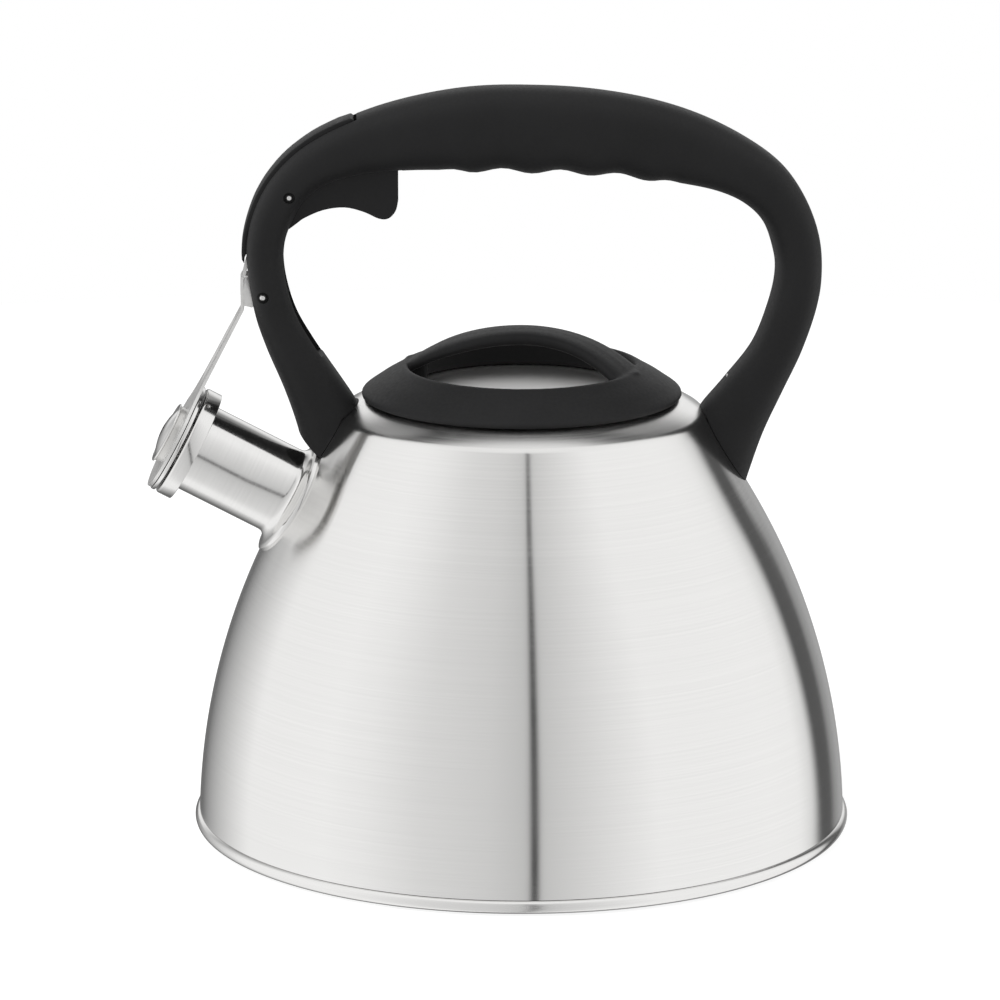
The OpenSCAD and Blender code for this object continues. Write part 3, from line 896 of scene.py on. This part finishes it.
class KETTLE_OT_lid_grip(bpy.types.Operator):
    """Build the lid's black ring with the twisted bridge grown out of it"""

    bl_idname = "kettle.lid_grip"
    bl_label = "Lid grip"

    def execute(self, context):
        low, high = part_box("lid_grip")
        ring_in = 0.0378
        ring_top = 0.157
        lid_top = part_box("lid_plate")[1].z
        crown = [(ring_in, lid_top), (0.0503, lid_top), (0.0504, low.z + 0.0011), (0.0521, low.z + 0.0001)]
        crown += smooth_curve(in_metres([
            (52.9, 146.45), (53.4, 147.1), (53.3, 147.7), (52.3, 148.7), (50.0, 150.3), (46.5, 152.7),
            (42.7, 154.9), (40.2, 156.4), (39.1, 156.9), (38.2, 156.8), (37.8, 156.0),
        ]), 3)
        ring = turned_piece("lid_handle", crown, finish("plastic"), turns=200)
        carve(ring, self.bridge(ring_in, ring_top, high.z), "UNION")
        boss_line = [(0, lid_top), (0.0036, lid_top), (0.0036, ring_top), (0, ring_top)]
        boss_turn = math.radians(-21)
        for reach in (-0.037, 0.037):
            place = Matrix.Translation((reach * math.cos(boss_turn), reach * math.sin(boss_turn), 0))
            boss = turned_piece("boss", boss_line, closed=False, turns=40, place=place)
            carve(ring, boss, "UNION")
        skin = ring.modifiers.new("one skin", "REMESH")
        skin.mode = "VOXEL"
        skin.voxel_size = 0.0006
        skin.use_smooth_shade = True
        blend = ring.modifiers.new("blend", "SMOOTH")
        blend.factor = 0.5
        blend.iterations = 5
        apply_modifiers(ring)
        ring.data.materials.clear()
        ring.data.materials.append(finish("plastic"))
        shade(ring, math.radians(60))
        settle(ring, "lid", "black_plastic", "lid_grip")
        return {"FINISHED"}

    def bridge(self, ring_in, ring_top, top):
        """The twisted blade over the ring's opening, crowned like a dome."""
        rise = top - ring_top
        dome = (ring_in ** 2 + rise ** 2) / (2 * rise)
        thick = 0.0044
        around = 40
        # Front edge from the spout side to the far side, seen from above; the rear edge is the
        # same curve turned half round
        front = in_metres(smooth_curve([
            (-46, 6), (-38, 2.5), (-30, -2.5), (-20, -6.5), (-8, -8.0), (4, -9.0), (15, -12.5), (24, -18.5),
            (31, -25), (37, -31),
        ], 5))
        rear = [(-x, -y) for x, y in front][::-1]
        rows = []
        for (fx, fy), (rx, ry) in zip(front, rear):
            row = []
            for k in range(around):
                a = 2 * math.pi * k / around
                c, d = math.cos(a), math.sin(a)
                u = (1 + math.copysign(abs(c) ** 0.35, c)) / 2
                v = math.copysign(abs(d) ** 0.6, d)
                x, y = fx + (rx - fx) * u, fy + (ry - fy) * u
                crown = top - dome + math.sqrt(max(0.0, dome ** 2 - x * x - y * y))
                row.append((x, y, crown - thick / 2 + v * thick / 2))
            rows.append(row)
        return swept_piece("bridge", rows)


class KETTLE_OT_lid_plate(bpy.types.Operator):
    """Build the pressed steel lid with its plug, seen through the ring"""

    bl_idname = "kettle.lid_plate"
    bl_label = "Lid plate"

    def execute(self, context):
        low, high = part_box("lid_plate")
        sheet = 0.0008
        plug = 0.0418
        outline = round_corners([
            (0, high.z - 0.0002, 0), (0.034, high.z - 0.0003, 0.05), (0.036, high.z - 0.0001, 0.002),
            (high.x, high.z, 0.0003), (high.x, high.z - sheet, 0.0003), (plug, high.z - sheet, 0.0003),
            (plug, low.z, 0.0003), (plug - sheet, low.z, 0.0003), (plug - sheet, high.z - sheet, 0.0008),
            (0, high.z - sheet - 0.0002, 0),
        ], closed=False)
        plate = turned_piece("lid_pressing", outline, finish("lid"), closed=False, turns=200)
        settle(plate, "lid", "satin_steel", "lid_plate")
        return {"FINISHED"}


class KETTLE_OT_hardware(bpy.types.Operator):
    """Wind the return spring, and give the pins, screws, brackets, core and seal their finishes"""

    bl_idname = "kettle.hardware"
    bl_label = "Hardware"

    def execute(self, context):
        wire, coil, turns, length = 0.35, 2.1, 8, 5.4
        steps = 24
        path = [(-89.1, 2.6, 190.6), (-88.3, 2.6, 186.5)]
        for i in range(turns * steps + 1):
            a = math.pi + 2 * math.pi * i / steps
            y = 2.6 - length * i / (turns * steps)
            path.append((ARM_PIN[0] + coil * math.cos(a), y, ARM_PIN[1] + coil * math.sin(a)))
        path += [(-87.7, -2.8, 180.3), (-86.9, -2.8, 178.4)]
        around = 10
        rings = []
        points = [Vector(p) for p in path]
        for i, p in enumerate(points):
            along = (points[min(i + 1, len(points) - 1)] - points[max(i - 1, 0)]).normalized()
            side = along.cross(Vector((0.02, 1, 0.01))).normalized()
            up = along.cross(side)
            angles = [2 * math.pi * k / around for k in range(around)]
            rings.append([(p + (side * math.cos(a) + up * math.sin(a)) * wire) * MM for a in angles])
        spring = swept_piece("coil_spring", rings, finish("sheet"))
        settle(spring, "flap", "plain_steel", "return_spring")

        end = [(1.2, 10.0), (1.05, 10.6), (0.7, 11.0), (0, 11.1)]
        pin = in_metres([(r, -z) for r, z in reversed(end)] + end)
        for node, at in (("trigger_pin", TRIGGER_PIN), ("arm_pin", ARM_PIN)):
            rod = turned_piece(
                f"domed_{node}", pin, finish("sheet"), closed=False, turns=32, place=pin_place(at))
            settle(rod, "kettle", "plain_steel", node)

        # The brackets are blackened like the feet that they hold
        kept = {
            "sheet": ("handle_screws", "whistle_plate", "flap_rivet", "lid_screws"),
            "plastic": ("handle_bracket_left", "handle_bracket_right"),
            "core": ("heat_core",),
            "silicone": ("lid_seal",),
        }
        for key, names in kept.items():
            for name in names:
                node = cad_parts[name]
                node.data.materials.clear()
                node.data.materials.append(finish(key))
        return {"FINISHED"}


class KETTLE_OT_stage(bpy.types.Operator):
    """Set up the pale floor, the studio light round the kettle and the camera"""

    bl_idname = "kettle.stage"
    bl_label = "Stage"

    def execute(self, context):
        scene = context.scene
        scene.view_settings.view_transform = "Standard"
        bm = bmesh.new()
        lathe(bm, [(0, 0), (0.9, 0)], closed=False, turns=96)
        floor = piece_from("floor", bm, self.floor_finish())
        floor.location.z = -0.0002
        floor.visible_glossy = False
        scene.world = self.studio()
        self.softbox("key_softbox", (-0.7, -0.4, 1.3), 0.8, 16.0)
        self.camera(scene)
        return {"FINISHED"}

    def floor_finish(self):
        """A matte pale floor that glows a little, so that it stays even out to its edge."""
        s = Shader("pale_floor")
        speckle = s.noise(s.place(), (60, 60, 60), detail=2)
        s.tint(speckle, (0.3, 0.3, 0.3), 0.28 / 0.3, 0.32 / 0.3)
        s.set(Roughness=0.9, Specular_IOR_Level=0.1, Emission_Color=(1, 1, 1, 1), Emission_Strength=0.8)
        return s.material

    def softbox(self, name, place, size, power):
        """A round soft lamp aimed at the kettle; only matte surfaces show its light."""
        data = bpy.data.lights.new(name, "AREA")
        data.shape = "DISK"
        data.size = size
        data.energy = power
        lamp = bpy.data.objects.new(name, data)
        lamp.location = place
        lamp.visible_glossy = False
        lamp.rotation_euler = (Vector(place) - Vector((0, 0, 0.1))).to_track_quat("Z", "Y").to_euler()
        bpy.context.scene.collection.objects.link(lamp)

    def studio(self):
        """White all round for the camera; for the light, two tall panels with a dark gap in front
        and a dark flag behind each, as brightness against the bearing from the camera's side."""
        world = bpy.data.worlds.new("studio")
        world.use_nodes = True
        world.node_tree.nodes.clear()
        t = NodeTree(world.node_tree)
        split = t.node("ShaderNodeSeparateXYZ")
        t.link(t.node("ShaderNodeTexCoord").outputs["Generated"], split.inputs[0])
        x, y, z = split.outputs
        bearing = t.combined("ARCTAN2", x, t.combined("MULTIPLY", y, -1))
        ramp = t.node("ShaderNodeValToRGB")
        t.link(t.spread(bearing, 0, 1, -math.pi, math.pi), ramp.inputs["Fac"])
        # bearing in degrees from straight in front (-Y), towards +X, and the brightness there
        stops = [
            (-180, 0.3), (-171, 0.15), (-163, 0.15), (-150, 0.38), (-131, 0.7), (-115, 0.98), (-76, 1.0),
            (-60, 0.94), (-38, 0.79), (-14, 0.7), (-1, 0.61), (0.4, 0.57), (0.7, 0.02), (3.3, 0.02),
            (3.6, 0.57), (5, 0.63), (18, 0.74), (33, 0.87), (47, 0.98), (97, 1.0), (114, 0.98), (124, 0.8),
            (130, 0.1), (142, 0.1), (147, 0.28), (158, 0.38), (180, 0.3),
        ]
        elements = ramp.color_ramp.elements
        elements.remove(elements[-1])
        for i, (degrees, level) in enumerate(stops):
            position = (degrees + 180) / 360
            element = elements[0] if i == 0 else elements.new(position)
            element.position = position
            element.color = (level, level, level, 1)

        def blend(factor, below, level):
            """Goes from the colour below to a plain grey by a factor."""
            mix = t.node("ShaderNodeMix", data_type="RGBA")
            t.link(factor, mix.inputs["Factor"])
            t.link(below, mix.inputs["A"])
            mix.inputs["B"].default_value = (level, level, level, 1)
            return mix.outputs["Result"]

        # The wall behind is white above the table's edge, and so is the ceiling
        wall = t.combined("MULTIPLY", t.spread(y, 0, 1, 0.75, 0.9), t.spread(z, 0, 1, 0.03, 0.15))
        behind = blend(wall, ramp.outputs["Color"], 0.9)
        overhead = blend(t.spread(z, 0, 1, 0.8, 0.93), behind, 0.95)
        lit = t.node("ShaderNodeBackground", Strength=1.08)
        t.link(overhead, lit.inputs["Color"])
        seen = t.node("ShaderNodeBackground", Color=(1, 1, 1, 1))
        mix = t.node("ShaderNodeMixShader")
        t.link(t.node("ShaderNodeLightPath").outputs["Is Camera Ray"], mix.inputs["Fac"])
        t.link(lit.outputs[0], mix.inputs[1])
        t.link(seen.outputs[0], mix.inputs[2])
        t.link(mix.outputs[0], t.node("ShaderNodeOutputWorld").inputs["Surface"])
        return world

    def camera(self, scene):
        """A long lens in front of the kettle, a little above it."""
        data = bpy.data.cameras.new("camera")
        data.lens = 190.3
        data.sensor_width = 36
        data.clip_end = 20
        camera = bpy.data.objects.new("camera", data)
        camera.location = (-0.0762, -1.7172, 0.5289)
        camera.rotation_euler = (math.radians(90 - 13.69), 0, math.radians(-2.3))
        scene.collection.objects.link(camera)
        scene.camera = camera


class KETTLE_PT_panel(bpy.types.Panel):
    """Lists the kettle's pieces and settings"""

    bl_label = "Kettle"
    bl_space_type = "VIEW_3D"
    bl_region_type = "UI"
    bl_category = "Kettle"

    def draw(self, context):
        layout = self.layout
        for group in (context.scene.kettle_sizes, context.scene.kettle_finishes):
            box = layout.box()
            for key in group.__annotations__:
                box.prop(group, key)
        for operator in PIECES:
            layout.operator(operator.bl_idname)


PIECES = (
    KETTLE_OT_body,
    KETTLE_OT_foot,
    KETTLE_OT_spout,
    KETTLE_OT_flap,
    KETTLE_OT_handle,
    KETTLE_OT_trigger,
    KETTLE_OT_lid_grip,
    KETTLE_OT_lid_plate,
    KETTLE_OT_hardware,
    KETTLE_OT_stage,
)
CLASSES = (KettleSizes, KettleFinishes, *PIECES, KETTLE_PT_panel)


def register():
    for cls in CLASSES:
        bpy.utils.register_class(cls)
    bpy.types.Scene.kettle_sizes = PointerProperty(type=KettleSizes)
    bpy.types.Scene.kettle_finishes = PointerProperty(type=KettleFinishes)


def unregister():
    del bpy.types.Scene.kettle_finishes
    del bpy.types.Scene.kettle_sizes
    for cls in reversed(CLASSES):
        bpy.utils.unregister_class(cls)


def main():
    register()
    bpy.ops.kettle.body()
    bpy.ops.kettle.foot()
    bpy.ops.kettle.spout()
    bpy.ops.kettle.flap()
    bpy.ops.kettle.handle()
    bpy.ops.kettle.trigger()
    bpy.ops.kettle.lid_grip()
    bpy.ops.kettle.lid_plate()
    bpy.ops.kettle.hardware()
    bpy.ops.kettle.stage()


if __name__ == "__main__":
    main()
